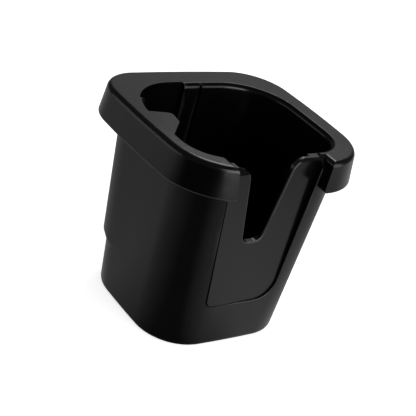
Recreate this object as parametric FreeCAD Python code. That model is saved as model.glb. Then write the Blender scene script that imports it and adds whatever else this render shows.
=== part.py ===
import FreeCAD, Part
import math
import os

# One-piece moulded plastic insert that holds a mug or a large cup.
# Millimetres, Z up. The front, with the V-shaped notch, faces -Y.
# The origin is the middle of the flat bottom.

# Driving dimensions
overall_height = 113.0
wall = 3.0

# Body: a rounded, nearly square tub that widens upwards
body_bottom_width = 85.5
body_bottom_depth = 80.5
body_top_width = 99.5
body_top_depth = 91.0
body_top_shift_y = 1.2
body_corner_radius = 26.5
body_crown = 1.4
bottom_edge_radius = 3.0

# Rim: a wide flat flange whose outer edge turns down as a skirt
rim_front_width = 108.0
rim_back_width = 111.5
rim_depth = 106.0
rim_shift_x = 1.7
rim_shift_y = 5.0
rim_front_radius = 31.0
rim_back_right_radius = 27.0
rim_back_left_radius = 24.5
rim_front_crown = 1.1
rim_side_crown = 3.0
rim_back_crown = 1.6
rim_top_thickness = 3.0
rim_edge_radius = 3.0
skirt_height = 17.2
skirt_flare = 2.0
skirt_thickness = 2.8
skirt_edge_radius = 0.9

# Well: the hollow that takes the cup, rounded over into the rim
well_left = -44.5
well_right = 44.8
well_front = -34.6
well_back = 40.4
well_crown = 1.5
well_front_radius = 19.0
well_back_right_radius = 28.0
well_back_left_radius = 31.0
well_floor_radius = 21.0
well_edge_radius = 3.0
floor_fillet = 5.0
floor_front_wall = 5.2

# Gap in the front of the rim
gap_centre = -2.65
gap_half_width = 29.65
gap_end_draft = 2.0
gap_edge_radius = 3.0
gap_corner_radius = 2.5

# Upright panel on the front wall, narrowing down to a rounded foot. It sinks
# into the wall towards the top and the right, and stands proud on the left
panel_foot_depth = 0.7
panel_rim_depth = 2.75
panel_turn = 2.0
panel_top_centre = -4.3
panel_foot_centre = -0.7
panel_top_half_width = 28.7
panel_foot_half_width = 22.0
panel_foot_height = 26.6
panel_left_foot_radius = 4.0
panel_right_foot_radius = 12.0
panel_edge_radius = 0.5

# V-shaped notch between two posts of different height
notch_top_centre = -6.35
notch_foot_centre = -5.6
notch_top_half_width = 14.85
notch_foot_half_width = 5.9
notch_foot_height = 65.3
notch_foot_radius = 4.5
notch_edge_radius = 0.8
left_post_drop = 4.0
right_post_drop = 1.0
post_slope = 1.0
post_crest_depth = 2.0
post_corner_radius = 7.5

# Stop tab on the left inner wall, level with the rim top
tab_reach = 10.5
tab_back_y = 11.5
tab_tip_length = 11.0
tab_height = 30.0
tab_tip_height = 10.0
tab_corner_radius = 3.0

# Small pocket in the back left corner, with its bulge on the outside
pocket_right_x = -6.5
pocket_front_y = 28.0
pocket_floor = 40.0
pocket_draft = 0.5
bulge_back_reach = 3.8
bulge_foot_height = 24.5
bulge_slope_height = 6.5
bulge_side_reach = 1.2
bulge_front_inset = 1.5
bulge_back_margin = 4.0
bulge_front_y = -10.0

# Narrow slit in the back wall, beside the pocket
slit_x = 4.4
slit_width = 2.2
slit_sink = 2.2
slit_top_drop = 1.0
slit_length = 45.0

# Derived dimensions
rim_under = overall_height - skirt_height
gap_left = gap_centre - gap_half_width
gap_right = gap_centre + gap_half_width
left_post_top = overall_height - left_post_drop
right_post_top = overall_height - right_post_drop
well_front_reach = well_front + 15.0
far = 200.0


def vec(x, y, z=0.0):
    return FreeCAD.Vector(x, y, z)


def crowned_side(start, end, crown):
    """Centre and radius of the arc that bulges outwards by the crown."""
    chord = (end - start).Length
    radius = (chord * chord / 4.0 + crown * crown) / (2.0 * crown)
    along = (end - start).normalize()
    inwards = vec(-along.y, along.x)
    middle = (start + end) * 0.5
    return middle + inwards * (radius - crown), radius


def corner_centre(first, second, radius, corner):
    """Centre of the corner arc that touches both side arcs from inside."""
    centre_a, radius_a = first
    centre_b, radius_b = second
    reach_a = radius_a - radius
    reach_b = radius_b - radius
    apart = centre_b - centre_a
    length = apart.Length
    along = (reach_a**2 - reach_b**2 + length**2) / (2.0 * length)
    across = math.sqrt(reach_a**2 - along**2)
    axis = apart * (1.0 / length)
    side = vec(-axis.y, axis.x)
    foot = centre_a + axis * along
    choices = [foot + side * across, foot - side * across]
    return min(choices, key=lambda point: (point - corner).Length)


def outline(corners, crowns, radii, inset, height):
    """Closed outline of four crowned sides joined by four corner arcs.

    The corners run counter-clockwise from the front left. A positive inset
    moves the whole outline inwards, keeping every arc on its own centre.
    """
    count = len(corners)
    lift = vec(0, 0, height)
    sides = []
    for index in range(count):
        start = corners[index]
        end = corners[(index + 1) % count]
        sides.append(crowned_side(start, end, crowns[index]))
    centres = []
    for index in range(count):
        before = sides[index - 1]
        after = sides[index]
        centres.append(corner_centre(before, after, radii[index], corners[index]))

    def touch(side, centre):
        outwards = (centre - side[0]).normalize()
        return side[0] + outwards * (side[1] - inset)

    def arc(centre, radius, start, end):
        outwards = ((start + end) * 0.5 - centre).normalize()
        middle = centre + outwards * radius
        return Part.Arc(start + lift, middle + lift, end + lift).toShape()

    edges = []
    for index in range(count):
        before = sides[index - 1]
        side = sides[index]
        here = centres[index]
        following = centres[(index + 1) % count]
        corner_start = touch(before, here)
        corner_end = touch(side, here)
        side_end = touch(side, following)
        edges.append(arc(here, radii[index] - inset, corner_start, corner_end))
        edges.append(arc(side[0], side[1] - inset, corner_end, side_end))
    return Part.Wire(edges)


def rectangle(left, right, front, back):
    return [vec(left, front), vec(right, front), vec(right, back), vec(left, back)]


def tapered(low_wire, high_wire):
    """Solid with straight walls between two outlines at different heights."""
    return Part.makeLoft([low_wire, high_wire], True, True)


def box_between(low, high):
    size = high - low
    return Part.makeBox(size.x, size.y, size.z, low)


def sweep_in_y(edges, front, back):
    """Sweep a closed profile drawn in the XZ plane from front to back."""
    face = Part.Face(Part.Wire(edges))
    face.translate(vec(0, front, 0))
    return face.extrude(vec(0, back - front, 0))


def edges_where(shape, test):
    return [edge for edge in shape.Edges if test(edge)]


def is_level(edge, height):
    box = edge.BoundBox
    return abs(box.ZMin - height) < 0.01 and abs(box.ZMax - height) < 0.01


def lies_on(edge, first_skin, second_skin):
    """Whether the whole edge runs along both skins."""
    start, end = edge.ParameterRange
    for step in range(5):
        point = Part.Vertex(edge.valueAt(start + (end - start) * step / 4))
        for skin in (first_skin, second_skin):
            if skin.distToShape(point)[0] > 0.02:
                return False
    return True


# Body
def body_outline(height, inset):
    share = height / overall_height
    width = body_bottom_width + (body_top_width - body_bottom_width) * share
    depth = body_bottom_depth + (body_top_depth - body_bottom_depth) * share
    middle = body_top_shift_y * share
    corners = rectangle(-width / 2, width / 2, middle - depth / 2, middle + depth / 2)
    return outline(corners, [body_crown] * 4, [body_corner_radius] * 4, inset, height)


tub = tapered(body_outline(0.0, 0.0), body_outline(overall_height, 0.0))
tub = tub.makeFillet(bottom_edge_radius, edges_where(tub, lambda e: is_level(e, 0.0)))

# Sunk panel
def panel_side(height):
    """Centre and half width of the panel at a height."""
    share = (height - panel_foot_height) / (overall_height - panel_foot_height)
    centre = panel_foot_centre + (panel_top_centre - panel_foot_centre) * share
    half = panel_foot_half_width + (panel_top_half_width - panel_foot_half_width) * share
    return centre, half


foot_centre, foot_half = panel_side(panel_foot_height)
head_centre, head_half = panel_side(overall_height + 5.0)
panel_plan = [
    vec(foot_centre - foot_half, 0, panel_foot_height),
    vec(foot_centre + foot_half, 0, panel_foot_height),
    vec(head_centre + head_half, 0, overall_height + 5.0),
    vec(head_centre - head_half, 0, overall_height + 5.0),
]
panel = sweep_in_y(Part.makePolygon(panel_plan + panel_plan[:1]).Edges, -far, 0.0)


def at_panel_foot(edge, side):
    box = edge.BoundBox
    is_low = abs(box.ZMax - panel_foot_height) < 0.01 and box.YLength > 1.0
    return is_low and (box.XMin - foot_centre) * side > 0


panel = panel.makeFillet(
    panel_left_foot_radius,
    edges_where(panel, lambda e: at_panel_foot(e, -1)),
)
panel = panel.makeFillet(
    panel_right_foot_radius,
    edges_where(panel, lambda e: at_panel_foot(e, 1)),
)


def panel_front(height):
    """Place of the panel's face in y at a height, in the middle of the wall."""
    share = height / overall_height
    depth = body_bottom_depth + (body_top_depth - body_bottom_depth) * share
    wall_front = body_top_shift_y * share - depth / 2 - body_crown
    rise = (height - panel_foot_height) / (rim_under - panel_foot_height)
    return wall_front + panel_foot_depth + (panel_rim_depth - panel_foot_depth) * rise


def behind_panel(inset):
    """Block whose flat front is the panel's face, moved back by the inset."""
    low = -1.0
    high = overall_height + 6.0
    profile = [
        vec(-far, panel_front(low) + inset, low),
        vec(-far, panel_front(high) + inset, high),
        vec(-far, far, high),
        vec(-far, far, low),
    ]
    block = Part.Face(Part.makePolygon(profile + profile[:1])).extrude(vec(2 * far, 0, 0))
    block.rotate(vec(0, panel_front(rim_under), 0), vec(0, 0, 1), panel_turn)
    return block


panel_back = behind_panel(0.0)
tub_skin = tub.Shells[0]
tub = tub.cut(panel.cut(panel_back))
pad_limit = box_between(vec(-far, -far, 0), vec(far, 0, overall_height))
tub = tub.fuse(panel.common(panel_back).common(pad_limit)).removeSplitter()
right_foot_x = foot_centre + foot_half - panel_right_foot_radius - 1.0
panel_edges = edges_where(
    tub,
    lambda e: e.BoundBox.XMin > right_foot_x and lies_on(e, panel.Shells[0], tub_skin),
)
tub = tub.makeFillet(panel_edge_radius, panel_edges)

# Bulge round the pocket: the body's outline with its back moved outwards, so
# that the left wall swells gently towards the corner. Its foot slopes
bulge_slope_top = bulge_foot_height + bulge_slope_height
bulge_top = rim_under + skirt_height / 2
bulge_end_x = pocket_right_x + bulge_back_margin


def bulge_outline(height, swell):
    share = height / overall_height
    half_width = (body_bottom_width + (body_top_width - body_bottom_width) * share) / 2
    half_depth = (body_bottom_depth + (body_top_depth - body_bottom_depth) * share) / 2
    middle = body_top_shift_y * share
    front = middle - half_depth + bulge_front_inset
    back = middle + half_depth + bulge_back_reach * swell
    corners = [
        vec(bulge_front_inset - half_width, front),
        vec(half_width, front),
        vec(half_width, back),
        vec(-half_width - bulge_side_reach * swell, back),
    ]
    return outline(corners, [body_crown] * 4, [body_corner_radius] * 4, 0.0, height)


bulge = tapered(bulge_outline(bulge_foot_height, -0.2), bulge_outline(bulge_slope_top, 1.0))
bulge = bulge.fuse(tapered(bulge_outline(bulge_slope_top, 1.0), bulge_outline(bulge_top, 1.0)))
bulge = bulge.common(box_between(vec(-far, bulge_front_y, 0), vec(bulge_end_x, far, overall_height)))

body = tub.fuse(bulge)

# Rim
rim_corners = [
    vec(rim_shift_x - rim_front_width / 2, rim_shift_y - rim_depth / 2),
    vec(rim_shift_x + rim_front_width / 2, rim_shift_y - rim_depth / 2),
    vec(rim_shift_x + rim_back_width / 2, rim_shift_y + rim_depth / 2),
    vec(rim_shift_x - rim_back_width / 2, rim_shift_y + rim_depth / 2),
]
rim_crowns = [rim_front_crown, rim_side_crown, rim_back_crown, rim_side_crown]
rim_radii = [rim_front_radius, rim_front_radius, rim_back_right_radius, rim_back_left_radius]


def rim_outline(height, inset):
    growth = skirt_flare * (overall_height - height) / skirt_height
    return outline(rim_corners, rim_crowns, rim_radii, inset - growth, height)


rim = tapered(rim_outline(rim_under, 0.0), rim_outline(overall_height, 0.0))
rim = rim.makeFillet(rim_edge_radius, edges_where(rim, lambda e: is_level(e, overall_height)))
rim = rim.makeFillet(skirt_edge_radius, edges_where(rim, lambda e: is_level(e, rim_under)))

# Hollow under the flange, closed by an end wall on each side of the gap
hollow = tapered(
    rim_outline(rim_under - 1.0, skirt_thickness),
    rim_outline(overall_height - rim_top_thickness, skirt_thickness),
)
hollow = hollow.cut(
    box_between(vec(gap_left - wall, -far, 0), vec(gap_right + wall, 0, overall_height))
)
rim = rim.cut(hollow)
shape = rim.fuse(body).removeSplitter()

# Well
well_radii = [well_front_radius, well_front_radius, well_back_right_radius, well_back_left_radius]


def well_top_outline(height, inset):
    corners = rectangle(well_left, well_right, well_front, well_back)
    return outline(corners, [well_crown] * 4, well_radii, inset, height)


floor_half_width = body_bottom_width / 2 - wall
floor_back = body_bottom_depth / 2 - wall
floor_front = floor_front_wall - body_bottom_depth / 2
floor_outline = outline(
    rectangle(-floor_half_width, floor_half_width, floor_front, floor_back),
    [well_crown] * 4,
    [well_floor_radius] * 4,
    0.0,
    wall,
)
well = tapered(floor_outline, well_top_outline(overall_height, 0.0))
well = well.makeFillet(floor_fillet, edges_where(well, lambda e: is_level(e, wall)))
shape = shape.cut(well)


def on_well_mouth(edge):
    box = edge.BoundBox
    inside_x = box.XMin > well_left - 5.0 and box.XMax < well_right + 5.0
    inside_y = box.YMin > well_front - 5.0 and box.YMax < well_back + 5.0
    return is_level(edge, overall_height) and inside_x and inside_y


mouth_edges = edges_where(shape, on_well_mouth)
shape = shape.makeFillet(well_edge_radius, mouth_edges)

# Gap in the rim
gap_floor = rim_under - 5.0


def gap_outline():
    """Gap profile: drafted ends, rounded over at the top and at the skirt's foot."""
    top = overall_height
    round_top = gap_edge_radius
    round_foot = gap_corner_radius
    slope = gap_end_draft / skirt_height

    edges = []
    for side in (-1, 1):
        end_x = gap_left if side < 0 else gap_right
        foot_x = end_x - side * slope * (skirt_height - round_foot)
        outer_top = vec(end_x + side * round_top, 0, top)
        below_top = vec(end_x, 0, top - round_top)
        above_foot = vec(foot_x, 0, rim_under + round_foot)
        outer_foot = vec(foot_x + side * round_foot, 0, rim_under)
        top_centre = vec(end_x + side * round_top, 0, top - round_top)
        foot_centre = vec(foot_x + side * round_foot, 0, rim_under + round_foot)
        diagonal = math.sqrt(0.5)
        top_through = top_centre + vec(-side * diagonal, 0, diagonal) * round_top
        foot_through = foot_centre + vec(-side * diagonal, 0, -diagonal) * round_foot
        edges.append(Part.makeLine(vec(outer_top.x, 0, top + 5.0), outer_top))
        edges.append(Part.Arc(outer_top, top_through, below_top).toShape())
        edges.append(Part.makeLine(below_top, above_foot))
        edges.append(Part.Arc(above_foot, foot_through, outer_foot).toShape())
        edges.append(Part.makeLine(outer_foot, vec(outer_foot.x, 0, gap_floor)))
    left_top = vec(gap_left - round_top, 0, top + 5.0)
    right_top = vec(gap_right + round_top, 0, top + 5.0)
    shift = slope * (skirt_height - round_foot) - round_foot
    left_foot = vec(gap_left + shift, 0, gap_floor)
    right_foot = vec(gap_right - shift, 0, gap_floor)
    edges.append(Part.makeLine(left_top, right_top))
    edges.append(Part.makeLine(left_foot, right_foot))
    return Part.__sortEdges__(edges)


gap = sweep_in_y(gap_outline(), -far, well_front_reach)

# The front wall stands in the gap as two posts whose tops slope forwards
post_back = well_front + 4.0
post_crest = panel_front(overall_height) + post_crest_depth
post_reach = 10.0
post_rise = 1.0


def post_block(left, right, top):
    profile = [
        vec(left, post_back, gap_floor - 1.0),
        vec(left, post_back, top + post_rise),
        vec(left, post_crest + post_rise / post_slope, top + post_rise),
        vec(left, post_crest - post_reach, top - post_reach * post_slope),
        vec(left, post_crest - post_reach, gap_floor - 1.0),
    ]
    face = Part.Face(Part.makePolygon(profile + profile[:1]))
    return face.extrude(vec(right - left, 0, 0))


posts = post_block(gap_left - post_reach, notch_top_centre, left_post_top)
posts = posts.fuse(post_block(notch_top_centre, gap_right + post_reach, right_post_top))
posts = posts.common(tub)
gap = gap.cut(posts)
shape = shape.cut(gap)


# Behind the panel the well steps forwards, so that the wall stays even
bay_plan = [
    vec(foot_centre - foot_half + wall, 0, panel_foot_height + wall),
    vec(foot_centre + foot_half - wall, 0, panel_foot_height + wall),
    vec(head_centre + head_half - 2 * wall, 0, overall_height + 5.0),
    vec(head_centre - head_half + 2 * wall, 0, overall_height + 5.0),
]
bay = sweep_in_y(Part.makePolygon(bay_plan + bay_plan[:1]).Edges, -far, 0.0)
bay = bay.common(behind_panel(wall))
shape = shape.cut(bay)

# Notch
notch_foot_left = vec(notch_foot_centre - notch_foot_half_width, 0, notch_foot_height)
notch_foot_right = vec(notch_foot_centre + notch_foot_half_width, 0, notch_foot_height)
left_run = vec(notch_top_centre - notch_top_half_width, 0, overall_height) - notch_foot_left
right_run = vec(notch_top_centre + notch_top_half_width, 0, overall_height) - notch_foot_right
left_share = (left_post_top - notch_foot_height) / left_run.z
right_share = (right_post_top - notch_foot_height) / right_run.z
left_post = notch_foot_left + left_run * left_share
right_post = notch_foot_right + right_run * right_share
notch_plan = [
    notch_foot_left,
    notch_foot_right,
    right_post,
    vec(gap_right - 1.5, 0, right_post_top),
    vec(gap_right - 1.5, 0, overall_height + 5.0),
    vec(gap_left + 1.5, 0, overall_height + 5.0),
    vec(gap_left + 1.5, 0, left_post_top),
    left_post,
]
notch = sweep_in_y(
    Part.makePolygon(notch_plan + notch_plan[:1]).Edges,
    -far / 2,
    well_front_reach,
)


def runs_through(edge, point):
    box = edge.BoundBox
    return box.YLength > 1.0 and abs(box.XMin - point.x) < 0.01 and abs(box.ZMin - point.z) < 0.01


notch = notch.makeFillet(
    notch_foot_radius,
    edges_where(
        notch,
        lambda e: runs_through(e, notch_foot_left) or runs_through(e, notch_foot_right),
    ),
)
notch = notch.makeFillet(
    post_corner_radius,
    edges_where(notch, lambda e: runs_through(e, left_post) or runs_through(e, right_post)),
)
shape = shape.cut(notch)
notch_edges = edges_where(shape, lambda e: lies_on(e, notch.Shells[0], panel_back.Shells[0]))
shape = shape.makeFillet(notch_edge_radius, notch_edges)

# Pocket
pocket = tapered(
    well_top_outline(pocket_floor, pocket_draft - well_edge_radius),
    well_top_outline(overall_height, -well_edge_radius),
)
pocket = pocket.common(
    box_between(
        vec(-far, pocket_front_y, 0),
        vec(pocket_right_x, far, overall_height),
    )
)
shape = shape.cut(pocket)

# Slit
slit_top = overall_height - slit_top_drop
slit_wall_y = well_back + well_crown
slit = box_between(
    vec(slit_x - slit_width / 2, slit_wall_y - 8.0, slit_top - slit_length),
    vec(slit_x + slit_width / 2, slit_wall_y + slit_sink, slit_top),
)
slit = slit.makeFillet(
    slit_width / 2 - 0.01,
    edges_where(slit, lambda e: e.BoundBox.YLength > 1.0),
)
shape = shape.cut(slit)

# Stop tab
tab_root = well_left - 4.0
tab_tip = well_left - well_crown + tab_reach
tab_front_y = tab_back_y - tab_tip_length
tab_plan = [
    vec(tab_root, tab_back_y + 1.5, overall_height - tab_height),
    vec(tab_root, tab_front_y - (tab_tip - tab_root), overall_height - tab_height),
    vec(tab_tip - 1.5, tab_front_y, overall_height - tab_height),
    vec(tab_tip, tab_back_y - 1.5, overall_height - tab_height),
]
tab = Part.Face(Part.makePolygon(tab_plan + tab_plan[:1]))
tab = tab.extrude(vec(0, 0, tab_height))
tab = tab.makeFillet(
    tab_corner_radius,
    edges_where(
        tab,
        lambda e: e.BoundBox.ZLength > 1.0 and e.BoundBox.XMin > tab_root + 1.0,
    ),
)
# Its underside slopes back down to the wall
under_plan = [
    vec(tab_root, 0, overall_height - tab_height - 1.0),
    vec(tab_tip + 1.0, 0, overall_height - tab_height - 1.0),
    vec(tab_tip + 1.0, 0, overall_height - tab_tip_height),
    vec(tab_root + 4.0, 0, overall_height - tab_height),
    vec(tab_root, 0, overall_height - tab_height),
]
under = sweep_in_y(Part.makePolygon(under_plan + under_plan[:1]).Edges, -far, far)
tab = tab.cut(under)
shape = shape.fuse(tab).removeSplitter()

os.makedirs("parts", exist_ok=True)
shape.exportStep("parts/cup_holder_divider.step")
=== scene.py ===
# %% [markdown]
# # A moulded cup insert on a studio table
# The object is one black plastic moulding that drops into a vehicle console and
# holds a cup or a mug. This lesson loads its measured solid, gives it a fine
# surface, and lights and frames it as a product photograph. Nothing is modelled
# again: the shape stays the measured one, and the looks come from its skin.

# %% Load the fixed frame
import math

import bmesh
import bpy
from mathutils import Matrix, Vector


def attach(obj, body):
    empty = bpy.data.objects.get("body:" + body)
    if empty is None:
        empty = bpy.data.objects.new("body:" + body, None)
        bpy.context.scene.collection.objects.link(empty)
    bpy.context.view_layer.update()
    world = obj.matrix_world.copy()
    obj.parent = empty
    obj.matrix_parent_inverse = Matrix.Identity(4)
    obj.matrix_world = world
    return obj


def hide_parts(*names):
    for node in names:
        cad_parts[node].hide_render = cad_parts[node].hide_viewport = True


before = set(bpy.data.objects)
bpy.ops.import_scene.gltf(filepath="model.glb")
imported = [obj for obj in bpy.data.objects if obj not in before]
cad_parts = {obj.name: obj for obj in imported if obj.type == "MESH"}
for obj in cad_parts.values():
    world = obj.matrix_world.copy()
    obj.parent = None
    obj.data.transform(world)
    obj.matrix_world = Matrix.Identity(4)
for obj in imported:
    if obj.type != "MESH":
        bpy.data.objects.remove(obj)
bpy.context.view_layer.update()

# %% [markdown]
# ## The moulding's skin
# A solid arrives as loose triangles, and a smooth surface needs shared points.
# Two ways are common: remesh it, which rounds off the crisp steps, or merge the
# points of a copy, which keeps them. The copy is merged here. Flat areas are then
# joined into single faces, because long thin triangles bend the shading.

# %% Merge a copy of the solid
MM = 0.001
SAME_POINT = 0.002 * MM
FLAT_ENOUGH = math.radians(0.05)

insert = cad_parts["cup_holder_divider"]
skin_mesh = insert.data.copy()
skin_mesh.name = "moulding_mesh"
skin_mesh.materials.clear()

work = bmesh.new()
work.from_mesh(skin_mesh)
loose_points = len(work.verts)
bmesh.ops.remove_doubles(work, verts=work.verts, dist=SAME_POINT)
bmesh.ops.dissolve_limit(
    work,
    angle_limit=FLAT_ENOUGH,
    use_dissolve_boundaries=False,
    verts=work.verts,
    edges=work.edges,
)
print("points:", loose_points, "merged to", len(work.verts), "with", len(work.faces), "faces")

# %% [markdown]
# ## Where hands and cups rub, and edges catch the light
# Black plastic turns grey and dull first on its tight outer edges, and these rounded
# edges also catch thin lines of light: the grey put on them is partly wear and partly
# a painted highlight. In this mesh a rounded edge is a row of narrow faces. How tight
# it is can be measured: the angles at a face's sides, times half their length, over
# the face's area, give its bend. Single faces are too small to trust, so each one
# takes the bend of its narrow neighbours with it. A wall bends little and stays clean.

# %% Measure each face
NARROW_WIDTH = 1.3 * MM


def turning_of(face):
    return 0.5 * sum(edge.calc_face_angle_signed(0.0) * edge.calc_length() for edge in face.edges)


def is_narrow(face):
    return 2.0 * face.calc_area() / face.calc_perimeter() < NARROW_WIDTH


work.normal_update()
work.faces.index_update()
areas = [max(face.calc_area(), 1e-12) for face in work.faces]
turnings = [turning_of(face) for face in work.faces]
narrow = [is_narrow(face) for face in work.faces]
print("narrow faces:", sum(narrow), "of", len(narrow))

# %% Find the tight edges
CLEAN_BEND = 0.15 / MM
WEAR_STARTS, WEAR_FULL = 0.4 / MM, 1.0 / MM
TIGHT_SHARE = 0.1


def eased(value, low, high):
    share = min(max((value - low) / (high - low), 0.0), 1.0)
    return share * share * (3.0 - 2.0 * share)


def bend_round(face):
    if not narrow[face.index] or turnings[face.index] / areas[face.index] < CLEAN_BEND:
        return 0.0
    around = {near.index for point in face.verts for near in point.link_faces if narrow[near.index]}
    return sum(turnings[index] for index in around) / sum(areas[index] for index in around)


bends = [eased(bend_round(face), WEAR_STARTS, WEAR_FULL) for face in work.faces]
tight = [bend > TIGHT_SHARE for bend in bends]
print("faces on tight edges:", sum(tight), "of", len(tight))

# %% [markdown]
# ## The painted shade round the mouth
# The rounded mouth of the well is glossy, but high on it, just under the flat top,
# runs a line that is a little rougher and whose shine is taken almost away, a painted
# shade over the reflection there. A face belongs to the
# mouth when all of it is near the top and it looks towards the middle of the well.
# Both marks are kept on the corners of the faces, not on the points, so that a
# wide face beside an edge stays clean.

# %% Mark the worn and highlighted edges and the mouth's painted shade
MOUTH_FOOT = 107.0 * MM
FLAT_TOP = 0.99
LOOKS_INWARD = (0.03, 0.25)
LOOKS_UP = (0.55, 0.8)
NEARLY_FLAT = (0.96, 1.0)
LESS_ON_TOP = 0.3


def wear_and_highlight_at(point):
    around = [bends[face.index] for face in point.link_faces if tight[face.index]]
    return sum(around) / max(len(around), 1)


def mouth_at(point):
    outward = Vector((point.co.x, point.co.y, 0.0)).normalized()
    inward = eased(-point.normal.dot(outward), *LOOKS_INWARD)
    upward = eased(point.normal.z, *LOOKS_UP)
    return inward * (upward * (1.0 - LESS_ON_TOP * eased(point.normal.z, *NEARLY_FLAT)))


# The edge mark is grey for wear and for the painted highlights on rounded edges.
edge_wear_and_highlight = work.loops.layers.float.new("wear_and_edge_highlight")
mouth_rough_and_shaded = work.loops.layers.float.new("mouth_dull_and_painted_shade")
for face in work.faces:
    near_top = min(point.co.z for point in face.verts) > MOUTH_FOOT and face.normal.z < FLAT_TOP
    for corner in face.loops:
        corner[edge_wear_and_highlight] = wear_and_highlight_at(corner.vert) if tight[face.index] else 0.0
        corner[mouth_rough_and_shaded] = mouth_at(corner.vert) if near_top else 0.0
print("corners marked:", sum(len(face.loops) for face in work.faces))

# %% [markdown]
# ## Shading
# Each face corner gets the mean direction of the faces round its point, and a wide
# face counts for more. Only faces within 35 degrees of its own take part, so a
# flat wall stays flat up to its rounded edge and a crisp step stays crisp.

# %% Shade the skin
NEAR_ENOUGH = math.cos(math.radians(35))


def corner_direction(corner):
    own = corner.face.normal
    mean = Vector()
    for face in corner.vert.link_faces:
        if face.normal.dot(own) > NEAR_ENOUGH:
            mean += face.normal * areas[face.index]
    return mean.normalized()


directions = [corner_direction(corner) for face in work.faces for corner in face.loops]
work.to_mesh(skin_mesh)
work.free()
moulding = bpy.data.objects.new("moulding", skin_mesh)
bpy.context.scene.collection.objects.link(moulding)
skin_mesh.shade_smooth()
skin_mesh.normals_split_custom_set(directions)
print("moulding:", len(skin_mesh.polygons), "faces,", len(directions), "corners")

# %% [markdown]
# ## Satin black plastic
# The plastic is dyed through and nearly black, and what one sees of it is its
# gloss: a soft mirror of the room. So the colour is left almost at zero, and the
# work goes into the gloss. It varies a little from place to place, a fine grain
# from the mould's spark finish breaks it up, and a faint unevenness of the walls,
# as plastic sinks when it cools, bends the reflections.

# %% Helpers for any material
COLOUR_A, COLOUR_B, COLOUR_RESULT = 6, 7, 2  # the mix node's sockets for colours


def feed(tree, socket, value):
    if isinstance(value, (float, tuple)):
        socket.default_value = value
    else:
        tree.links.new(value, socket)


def math_step(tree, kind, first, second=0.0):
    step = tree.nodes.new("ShaderNodeMath")
    step.operation = kind
    feed(tree, step.inputs[0], first)
    feed(tree, step.inputs[1], second)
    return step.outputs[0]


def colour_mix(tree, share, first, second):
    mix = tree.nodes.new("ShaderNodeMix")
    mix.data_type = "RGBA"
    feed(tree, mix.inputs[0], share)
    feed(tree, mix.inputs[COLOUR_A], first)
    feed(tree, mix.inputs[COLOUR_B], second)
    return mix.outputs[COLOUR_RESULT]


print("a mix of colours uses sockets", COLOUR_A, "and", COLOUR_B)

# %% Start the plastic
plastic = bpy.data.materials.new("satin_black_plastic")
plastic.use_nodes = True
nodes = plastic.node_tree.nodes
links = plastic.node_tree.links
shader = nodes["Principled BSDF"]
shader.inputs["IOR"].default_value = 1.5
object_place = nodes.new("ShaderNodeTexCoord").outputs["Object"]


def speckle(scale, detail, roughness=0.5):
    noise = nodes.new("ShaderNodeTexNoise")
    noise.inputs["Scale"].default_value = scale
    noise.inputs["Detail"].default_value = detail
    noise.inputs["Roughness"].default_value = roughness
    links.new(object_place, noise.inputs["Vector"])
    return noise.outputs["Fac"]


def ranged(value, low, high, to_low, to_high):
    change = nodes.new("ShaderNodeMapRange")
    change.inputs["From Min"].default_value = low
    change.inputs["From Max"].default_value = high
    change.inputs["To Min"].default_value = to_low
    change.inputs["To Max"].default_value = to_high
    links.new(value, change.inputs["Value"])
    return change.outputs["Result"]


def combined(kind, first, second=0.0):
    return math_step(plastic.node_tree, kind, first, second)


def marked(name):
    mark = nodes.new("ShaderNodeAttribute")
    mark.attribute_name = name
    return mark.outputs["Fac"]


print("helpers for the plastic are ready")

# %% [markdown]
# ## Gloss
# Roughness is the spread of the mirror image. The walls are the glossiest, and
# rubbed edges and the line round the mouth are duller. Two patterns of very
# different size are added, because an even gloss looks like glass or paint.

# %% Vary the roughness
PATCHES_PER_M, FINE_PER_M = 55.0, 900.0
USUAL_NOISE = (0.3, 0.7)
WALL_ROUGHNESS = (0.175, 0.225)
FINE_EXTRA = 0.035
MOUTH_EXTRA = 0.10
EDGE_EXTRA = 0.12

patches = ranged(speckle(PATCHES_PER_M, 3.0), *USUAL_NOISE, *WALL_ROUGHNESS)
fine_spread = ranged(speckle(FINE_PER_M, 2.0), *USUAL_NOISE, 0.0, FINE_EXTRA)
on_walls = combined("ADD", patches, fine_spread)
on_mouth = combined("MULTIPLY", marked("mouth_dull_and_painted_shade"), MOUTH_EXTRA)
on_edges = combined("MULTIPLY", marked("wear_and_edge_highlight"), EDGE_EXTRA)
roughness = combined("ADD", combined("ADD", on_walls, on_mouth), on_edges)
links.new(roughness, shader.inputs["Roughness"])
print("roughness of the walls:", WALL_ROUGHNESS, "and at most", FINE_EXTRA, "more in the grain")

# %% [markdown]
# ## Painted shadow line
# Up the left edge of the front panel and round its foot, two inserts of the mould
# meet and leave a fine black slot. It is too narrow for light to come back out of
# it, so the shine goes to zero there. A real groove would need a far finer mesh, so
# its shade is painted in the material as a shadow line. Its place is a distance from
# the panel's outline, a leaning line with a rounded corner, in the object's own
# coordinates: inside the corner the distance is taken from the corner's centre, less its radius.

# %% Place the shadow line
FOOT_X, FOOT_Z = -22.7 * MM, 26.6 * MM
TOP_X, TOP_Z = -33.0 * MM, 113.0 * MM
LEAN = (TOP_X - FOOT_X) / (TOP_Z - FOOT_Z)
ROUND = 4.0 * MM

axes = nodes.new("ShaderNodeSeparateXYZ")
links.new(object_place, axes.inputs[0])
x_place, y_place, z_place = axes.outputs

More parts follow.
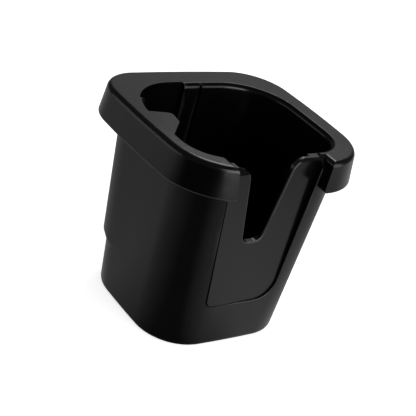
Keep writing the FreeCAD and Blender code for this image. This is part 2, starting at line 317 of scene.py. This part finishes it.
lean = combined("MULTIPLY", combined("SUBTRACT", z_place, FOOT_Z), LEAN)
upright_x = combined("SUBTRACT", x_place, lean)
beyond_x = combined("MAXIMUM", combined("SUBTRACT", FOOT_X + ROUND, upright_x), 0.0)
beyond_z = combined("MAXIMUM", combined("SUBTRACT", FOOT_Z + ROUND, z_place), 0.0)
squares = combined("ADD", combined("POWER", beyond_x, 2.0), combined("POWER", beyond_z, 2.0))
from_line = combined("ABSOLUTE", combined("SUBTRACT", combined("SQRT", squares), ROUND))
print("line leans", round(math.degrees(math.atan(LEAN)), 1), "degrees")

# %% Draw the shadow line
LINE_HALF = 0.38 * MM
RIM_FOOT = 91.5 * MM
FRONT = -38.0 * MM

on_line = ranged(from_line, 0.6 * LINE_HALF, 1.2 * LINE_HALF, 1.0, 0.0)
along_foot = ranged(upright_x, FOOT_X + ROUND, FOOT_X + 5 * ROUND, 1.0, 0.0)
under_rim = combined("LESS_THAN", z_place, RIM_FOOT)
in_front = combined("LESS_THAN", y_place, FRONT)
zone = combined("MULTIPLY", combined("MULTIPLY", under_rim, in_front), along_foot)
shadow = combined("MULTIPLY", on_line, zone)
print("slot is", round(2 * LINE_HALF / MM, 2), "mm wide")

# %% Take the shine out of the painted shadow line and off the mouth, as painted shade
FULL_SHINE = 0.5
# The share of the shine that the painted shade takes off the mouth.
MOUTH_PAINTED_SHADE = 0.95

# Painted shadow: the shine goes to zero along the line.
shine_off_painted_shadow = ranged(shadow, 0.0, 1.0, FULL_SHINE, 0.0)
# Painted shade: the mouth's shine is taken almost away.
shine_left_by_mouth_shade = combined("SUBTRACT", 1.0, combined("MULTIPLY", marked("mouth_dull_and_painted_shade"), MOUTH_PAINTED_SHADE))
shine = combined("MULTIPLY", shine_off_painted_shadow, shine_left_by_mouth_shade)
links.new(shine, shader.inputs["Specular IOR Level"])
print("the mouth's line keeps", round(1.0 - MOUTH_PAINTED_SHADE, 2), "of the shine")

# %% [markdown]
# ## Colour
# The dye is a cool black. On tight edges a little grey is put, partly for rubbed skin
# and partly as a painted highlight along the rounded edges, more on some stretches
# than on others, so it is multiplied by a slow pattern. Beside the painted shadow
# line the grey is left out, so the line stays black.

# %% Colour the plastic, its rubbed edges and their painted highlights
DYE = (0.0012, 0.0012, 0.0014, 1.0)
# Grey for rubbed skin and for the painted highlights along the edges.
WEAR_AND_HIGHLIGHT_GREY = (0.040, 0.040, 0.042, 1.0)
STRETCHES_PER_M = 70.0
LEAST_WEAR = 0.45
SPARED = (1.2 * MM, 2.4 * MM)

stretches = ranged(speckle(STRETCHES_PER_M, 4.0, 0.6), 0.35, 0.65, LEAST_WEAR, 1.0)
# Beside the painted shadow line the edge grey is left out.
beside_painted_shadow = combined("MULTIPLY", zone, ranged(from_line, *SPARED, 1.0, 0.0))
away_from_painted_shadow = combined("SUBTRACT", 1.0, beside_painted_shadow)
# The edge grey is part wear and part painted highlight.
wear_and_highlight = combined("MULTIPLY", combined("MULTIPLY", marked("wear_and_edge_highlight"), stretches), away_from_painted_shadow)
colour = colour_mix(plastic.node_tree, wear_and_highlight, DYE, WEAR_AND_HIGHLIGHT_GREY)
links.new(colour, shader.inputs["Base Color"])
print("edge grey is at most", WEAR_AND_HIGHLIGHT_GREY[0], "and the dye", DYE[0])

# %% [markdown]
# ## Grain and sink
# Both are relief, so they go in as bump. The grain is a third of a millimetre wide
# and a few thousandths deep. The sink is centimetres wide and very shallow.

# %% Add the relief
def relief(height, depth, strength, under=None):
    bump = nodes.new("ShaderNodeBump")
    bump.inputs["Distance"].default_value = depth
    bump.inputs["Strength"].default_value = strength
    links.new(height, bump.inputs["Height"])
    if under is not None:
        links.new(under, bump.inputs["Normal"])
    return bump.outputs["Normal"]


SINKS_PER_M, GRAINS_PER_M = 45.0, 2800.0
SINK_DEPTH, GRAIN_DEPTH = 0.10 * MM, 0.006 * MM
sink = relief(speckle(SINKS_PER_M, 2.0), SINK_DEPTH, 0.5)
grain = relief(speckle(GRAINS_PER_M, 3.0, 0.6), GRAIN_DEPTH, 0.6, under=sink)
links.new(grain, shader.inputs["Normal"])
print("relief in mm: sink", round(SINK_DEPTH / MM, 3), "and grain", round(GRAIN_DEPTH / MM, 3))

# %% [markdown]
# ## One piece for one part
# The skin stands for the measured solid, which stays in the physics model. It
# moves with the only body there is, and takes the black plastic's finish.

# %% Put the skin in the solid's place
skin_mesh.materials.append(plastic)
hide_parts("cup_holder_divider")
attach(moulding, "root")
print("moulding wears", plastic.name)

# %% [markdown]
# ## Camera
# The photograph looks down into the well from the front left, from about 0.6 m,
# and it is rolled a little. The place and the three directions come from fitting
# the solid's edges to it. A long lens keeps the sides nearly parallel.

# %% Camera
camera_data = bpy.data.cameras.new("camera")
camera_data.lens = 93.42
camera_data.sensor_width = 36.0
camera_data.clip_start = 0.01
camera_data.clip_end = 50.0

eye = Vector((-347.62, -386.52, 326.59)) * MM
right = Vector((0.8021789, -0.54060315, 0.25349014))
down = Vector((-0.07957057, -0.51755053, -0.85194482))
forward = Vector((0.591758, 0.6632418, -0.45818421))
camera = bpy.data.objects.new("camera", camera_data)
bpy.context.scene.collection.objects.link(camera)
facing = Matrix((right, -down, -forward)).transposed().to_4x4()
camera.matrix_world = Matrix.Translation(eye) @ facing
bpy.context.scene.camera = camera
print("camera is", round(eye.length, 3), "m from the insert's foot")

# %% [markdown]
# ## Floor
# The insert stands on a plain white sheet. The camera sees it as white paper that
# keeps the object's shadow. The glossy plastic mirrors the sheet and the dark room
# beyond it, and this mirror image draws the whole shape: bright to the left and the
# right, black to the front left. The levels below are those of the room by compass
# direction, close to the insert and further out.

# %% Lay the sheet
FLOOR_HALF = 6.0
sheet_mesh = bpy.data.meshes.new("floor")
corners = [(FLOOR_HALF * x, FLOOR_HALF * y, 0) for x, y in ((-1, -1), (1, -1), (1, 1), (-1, 1))]
sheet_mesh.from_pydata(corners, [], [(0, 1, 2, 3)])
sheet = bpy.data.objects.new("floor", sheet_mesh)
bpy.context.scene.collection.objects.link(sheet)
print("floor is", 2 * FLOOR_HALF, "m wide")

# %% Room levels by compass direction, in degrees from +X
CLOSE_LEVELS = [
    (0, 0.28),
    (60, 0.25),
    (90, 0.20),
    (120, 0.27),
    (150, 0.32),
    (168, 0.24),
    (190, 0.16),
    (212, 0.05),
    (234, 0.04),
    (250, 0.20),
    (268, 0.32),
    (285, 0.50),
    (303, 0.52),
    (330, 0.35),
    (350, 0.26),
]
FAR_LEVELS = [
    (0, 0.50),
    (60, 0.40),
    (120, 0.30),
    (150, 0.34),
    (165, 0.28),
    (176, 0.14),
    (188, 0.01),
    (244, 0.00),
    (252, 0.09),
    (266, 0.24),
    (285, 0.27),
    (310, 0.34),
    (332, 0.35),
    (350, 0.50),
]
print("levels:", len(CLOSE_LEVELS), "close,", len(FAR_LEVELS), "far")

# %% Start the paper
paper = bpy.data.materials.new("white_paper")
paper.use_nodes = True
paper_tree = paper.node_tree
paper_tree.nodes.clear()
make = paper_tree.nodes.new
join = paper_tree.links.new
place = make("ShaderNodeNewGeometry").outputs["Position"]

split = make("ShaderNodeSeparateXYZ")
join(place, split.inputs[0])
angle = math_step(paper_tree, "ARCTAN2", split.outputs["Y"], split.outputs["X"])
turns = math_step(paper_tree, "DIVIDE", angle, 2 * math.pi)
compass = math_step(paper_tree, "FLOORED_MODULO", turns, 1.0)
print("the paper knows its compass direction")

# %% Spread the levels over the sheet
COOL = 1.04
FADE_STARTS, FADE_ENDS = 0.17, 0.28


def level_by_compass(levels):
    ramp = make("ShaderNodeValToRGB")
    stops = ramp.color_ramp.elements
    for stop in stops:
        stop.color = (levels[0][1],) * 3 + (1.0,)
    for degrees, level in levels[1:]:
        stops.new(degrees / 360).color = (level, level, COOL * level, 1.0)
    join(compass, ramp.inputs[0])
    return ramp.outputs[0]


reach = make("ShaderNodeVectorMath")
reach.operation = "LENGTH"
join(place, reach.inputs[0])
how_far = make("ShaderNodeMapRange")
how_far.interpolation_type = "SMOOTHSTEP"
how_far.inputs["From Min"].default_value = FADE_STARTS
how_far.inputs["From Max"].default_value = FADE_ENDS
join(reach.outputs["Value"], how_far.inputs["Value"])
near_level, far_level = level_by_compass(CLOSE_LEVELS), level_by_compass(FAR_LEVELS)
mirror_image = make("ShaderNodeEmission")
mirrored = colour_mix(paper_tree, how_far.outputs[0], near_level, far_level)
join(mirrored, mirror_image.inputs["Color"])
print("close levels fade to far ones between", FADE_STARTS, "and", FADE_ENDS, "m")

# %% Finish the paper
PAPER_WHITE = (0.8, 0.8, 0.8, 1.0)
CAMERA_GLOW = 0.72


def by_ray(tree, ray_kind, otherwise, then):
    choice = tree.nodes.new("ShaderNodeMixShader")
    ray = tree.nodes.new("ShaderNodeLightPath")
    tree.links.new(ray.outputs[ray_kind], choice.inputs[0])
    tree.links.new(otherwise, choice.inputs[1])
    tree.links.new(then, choice.inputs[2])
    return choice.outputs[0]


matt = make("ShaderNodeBsdfDiffuse")
matt.inputs["Color"].default_value = PAPER_WHITE
glow = make("ShaderNodeEmission")
glow.inputs["Strength"].default_value = CAMERA_GLOW
seen_sheet = make("ShaderNodeAddShader")
join(matt.outputs[0], seen_sheet.inputs[0])
join(glow.outputs[0], seen_sheet.inputs[1])

without_gloss = by_ray(paper_tree, "Is Camera Ray", matt.outputs[0], seen_sheet.outputs[0])
finished = by_ray(paper_tree, "Is Glossy Ray", without_gloss, mirror_image.outputs[0])
join(finished, make("ShaderNodeOutputMaterial").inputs[0])
sheet_mesh.materials.append(paper)
print("floor wears", paper.name)

# %% [markdown]
# ## Room
# Outside the sheet is a pale even room. It fills the shadows, the camera sees it as
# white as the sheet, and the gloss sees little of it, because a studio's far walls
# are dark and the lamps below are what shows in the plastic.

# %% Room light
FILL, IN_GLOSS, SEEN = 0.35, 0.068, 1.0

world = bpy.data.worlds.new("studio")
world.use_nodes = True
bpy.context.scene.world = world
room_tree = world.node_tree
room_tree.nodes.clear()


def even_light(strength):
    light = room_tree.nodes.new("ShaderNodeBackground")
    light.inputs["Color"].default_value = (1, 1, 1, 1)
    light.inputs["Strength"].default_value = strength
    return light.outputs[0]


unseen = by_ray(room_tree, "Is Glossy Ray", even_light(FILL), even_light(IN_GLOSS))
room = by_ray(room_tree, "Is Camera Ray", unseen, even_light(SEEN))
room_tree.links.new(room, room_tree.nodes.new("ShaderNodeOutputWorld").inputs[0])
print("room fills with", FILL, "and shows in the gloss with", IN_GLOSS)

# %% [markdown]
# ## Soft boxes
# Five large lamps with cloth fronts stand round the table. Each is aimed at the
# well's mouth. Its place is given as a compass direction and a height angle in
# degrees and a distance in metres, then come its width and height and its level.
# The overhead one draws the bright line on the rim's front edge, the front one
# lights the panel, and the low side ones fill the rim's flat top and its ends.

# %% Stand the soft boxes
AIM = Vector((0.0, 0.0, 0.1))


def soft_box(name, azimuth, elevation, distance, size, radiance):
    data = bpy.data.lights.new(name, "AREA")
    data.shape = "RECTANGLE"
    data.size, data.size_y = size
    data.energy = radiance * math.pi * size[0] * size[1]
    lamp = bpy.data.objects.new(name, data)
    bpy.context.scene.collection.objects.link(lamp)
    across = math.radians(azimuth)
    up = math.radians(elevation)
    away = Vector((math.cos(across) * math.cos(up), math.sin(across) * math.cos(up), math.sin(up)))
    lamp.location = AIM + away * distance
    lamp.rotation_mode = "QUATERNION"
    lamp.rotation_quaternion = away.to_track_quat("Z", "Y")
    print(name, "gives", round(data.energy, 2), "W")


soft_box("overhead_box", 42, 52, 0.7, (0.27, 0.48), 3.4)
soft_box("front_box", -85, 12, 0.55, (0.46, 0.42), 3.0)
soft_box("back_panel", 49, 22, 0.9, (0.9, 0.3), 0.27)
soft_box("side_panel", 150, 6, 0.6, (0.5, 0.3), 0.55)
soft_box("right_panel", -45, 12, 0.6, (0.3, 0.42), 1.3)

# %% [markdown]
# ## Finish
# Colours are shown as they are, with no film look on top.

# %% Finish
bpy.context.scene.view_settings.view_transform = "Standard"
